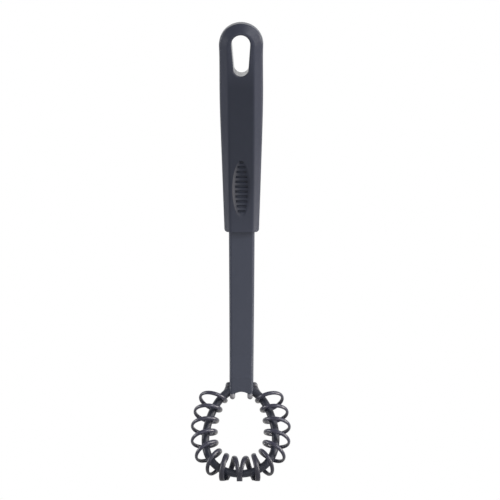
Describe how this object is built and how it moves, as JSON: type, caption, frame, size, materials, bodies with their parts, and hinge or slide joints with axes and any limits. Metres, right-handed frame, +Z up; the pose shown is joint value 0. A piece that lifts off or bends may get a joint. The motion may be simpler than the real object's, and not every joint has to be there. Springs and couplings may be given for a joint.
{
  "type": "dough whisk",
  "caption": "Nylon dough whisk: bowed handle with a teardrop hang hole and ribbed thumb rest, flat shank, and an egg-shaped ring wound with mirrored spirals.",
  "frame": {"origin": "centre of the hang hole's large arc, on the handle's front face", "axes": "+Z up with the whisk hanging, -Y out of the thumb side, +X to the right seen from the thumb side"},
  "size_m": [0.0654, 0.0406, 0.298],
  "materials": {
    "handle_nylon": "black nylon with a fine matte grain, paler where the light catches the bevels",
    "shank_nylon": "black nylon with a fine matte grain",
    "ring_nylon": "satin black nylon rod",
    "spiral_nylon": "satin black nylon strand"
  },
  "bodies": {
    "root": {"handle": "handle_nylon", "shank": "shank_nylon", "ring_core": "ring_nylon", "spiral_left": "spiral_nylon", "spiral_right": "spiral_nylon"}
  },
  "joints": []
}
